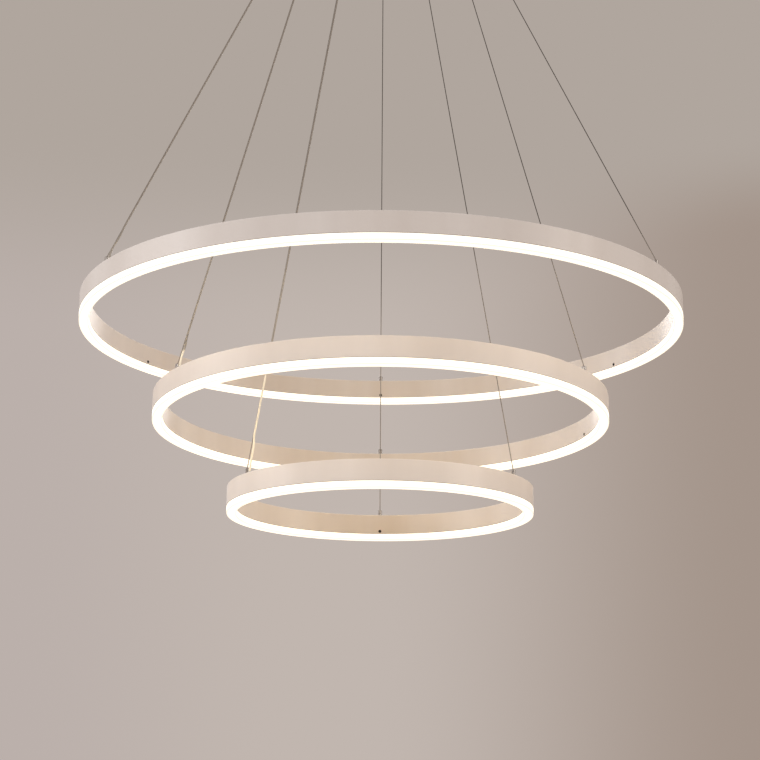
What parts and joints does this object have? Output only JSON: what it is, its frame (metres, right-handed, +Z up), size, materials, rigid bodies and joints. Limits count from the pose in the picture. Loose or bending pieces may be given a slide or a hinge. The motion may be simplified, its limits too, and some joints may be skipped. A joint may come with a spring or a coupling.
{
  "type": "led ring chandelier",
  "caption": "Pendant light of stacked slim LED rings with opal undersides, hung on adjustable steel wires from a round ceiling canopy.",
  "frame": {"origin": "on the ceiling, midway between the two screw slots of the crossbar", "axes": "+Z up into the ceiling, +Y to the back, where the first wire of each ring runs, +X to the right"},
  "size_m": [0.7999, 0.8, 0.936],
  "materials": {
    "ring_finish": "satin champagne coating",
    "opal_cap": "opal, lit from inside",
    "led_board": "white solder mask",
    "fitting_chrome": "polished plate",
    "steel_wire": "stranded stainless",
    "lead_jacket": "clear jacket",
    "clear_plastic": "clear moulded",
    "canopy_finish": "satin champagne paint",
    "zinc_steel": "zinc plated",
    "black_screw": "blackened steel",
    "driver_case": "moulded white",
    "white_plastic": "moulded white",
    "earth_brass": "turned"
  },
  "bodies": {
    "canopy": {"ceiling_crossbar": "zinc_steel", "canopy_cover": "canopy_finish", "canopy_side_screws": "fitting_chrome", "terminal_block": "white_plastic", "earth_stud": "earth_brass", "gripper_nuts": "zinc_steel", "lead_bushes": "clear_plastic", "driver_large": "driver_case", "driver_middle": "driver_case", "driver_small": "driver_case", "gripper_barrels_large": "fitting_chrome", "gripper_barrels_middle": "fitting_chrome", "gripper_barrels_small": "fitting_chrome", "gripper_studs_large": "zinc_steel", "gripper_studs_middle": "zinc_steel", "gripper_studs_small": "zinc_steel", "wire_large_back": "steel_wire", "wire_large_left": "steel_wire", "wire_large_right": "steel_wire", "wire_middle_back": "steel_wire", "wire_middle_left": "steel_wire", "wire_middle_right": "steel_wire", "wire_small_back": "steel_wire", "wire_small_left": "steel_wire", "wire_small_right": "steel_wire", "power_lead_large": "lead_jacket", "power_lead_middle": "lead_jacket", "power_lead_small": "lead_jacket"},
    "ring_large": {"channel_large": "ring_finish", "diffuser_large": "opal_cap", "led_boards_large": "led_board", "cable_anchors_large": "fitting_chrome", "lead_gland_large": "clear_plastic", "diffuser_screws_large": "black_screw"},
    "ring_middle": {"channel_middle": "ring_finish", "diffuser_middle": "opal_cap", "led_boards_middle": "led_board", "cable_anchors_middle": "fitting_chrome", "lead_gland_middle": "clear_plastic", "diffuser_screws_middle": "black_screw"},
    "ring_small": {"channel_small": "ring_finish", "diffuser_small": "opal_cap", "led_boards_small": "led_board", "cable_anchors_small": "fitting_chrome", "lead_gland_small": "clear_plastic", "diffuser_screws_small": "black_screw"},
    "release_large_back": {"plunger_large_back": "fitting_chrome"},
    "release_large_left": {"plunger_large_left": "fitting_chrome"},
    "release_large_right": {"plunger_large_right": "fitting_chrome"},
    "release_middle_back": {"plunger_middle_back": "fitting_chrome"},
    "release_middle_left": {"plunger_middle_left": "fitting_chrome"},
    "release_middle_right": {"plunger_middle_right": "fitting_chrome"},
    "release_small_back": {"plunger_small_back": "fitting_chrome"},
    "release_small_left": {"plunger_small_left": "fitting_chrome"},
    "release_small_right": {"plunger_small_right": "fitting_chrome"}
  },
  "joints": [
    {"name": "raise_large", "type": "slide", "parent": "canopy", "child": "ring_large", "axis": [0, 0, 1], "range_m": [0, 0.25], "deforming": ["wire_large_back", "wire_large_left", "wire_large_right", "power_lead_large"]},
    {"name": "raise_middle", "type": "slide", "parent": "canopy", "child": "ring_middle", "axis": [0, 0, 1], "range_m": [0, 0.25], "deforming": ["wire_middle_back", "wire_middle_left", "wire_middle_right", "power_lead_middle"]},
    {"name": "raise_small", "type": "slide", "parent": "canopy", "child": "ring_small", "axis": [0, 0, 1], "range_m": [0, 0.25], "deforming": ["wire_small_back", "wire_small_left", "wire_small_right", "power_lead_small"]},
    {"name": "press_large_back", "type": "slide", "parent": "canopy", "child": "release_large_back", "axis": [0, 0, 1], "range_m": [0, 0.0025], "stiffness_N_per_m": 400, "springref_m": -0.002},
    {"name": "press_large_left", "type": "slide", "parent": "canopy", "child": "release_large_left", "axis": [0, 0, 1], "range_m": [0, 0.0025], "stiffness_N_per_m": 400, "springref_m": -0.002},
    {"name": "press_large_right", "type": "slide", "parent": "canopy", "child": "release_large_right", "axis": [0, 0, 1], "range_m": [0, 0.0025], "stiffness_N_per_m": 400, "springref_m": -0.002},
    {"name": "press_middle_back", "type": "slide", "parent": "canopy", "child": "release_middle_back", "axis": [0, 0, 1], "range_m": [0, 0.0025], "stiffness_N_per_m": 400, "springref_m": -0.002},
    {"name": "press_middle_left", "type": "slide", "parent": "canopy", "child": "release_middle_left", "axis": [0, 0, 1], "range_m": [0, 0.0025], "stiffness_N_per_m": 400, "springref_m": -0.002},
    {"name": "press_middle_right", "type": "slide", "parent": "canopy", "child": "release_middle_right", "axis": [0, 0, 1], "range_m": [0, 0.0025], "stiffness_N_per_m": 400, "springref_m": -0.002},
    {"name": "press_small_back", "type": "slide", "parent": "canopy", "child": "release_small_back", "axis": [0, 0, 1], "range_m": [0, 0.0025], "stiffness_N_per_m": 400, "springref_m": -0.002},
    {"name": "press_small_left", "type": "slide", "parent": "canopy", "child": "release_small_left", "axis": [0, 0, 1], "range_m": [0, 0.0025], "stiffness_N_per_m": 400, "springref_m": -0.002},
    {"name": "press_small_right", "type": "slide", "parent": "canopy", "child": "release_small_right", "axis": [0, 0, 1], "range_m": [0, 0.0025], "stiffness_N_per_m": 400, "springref_m": -0.002}
  ]
}
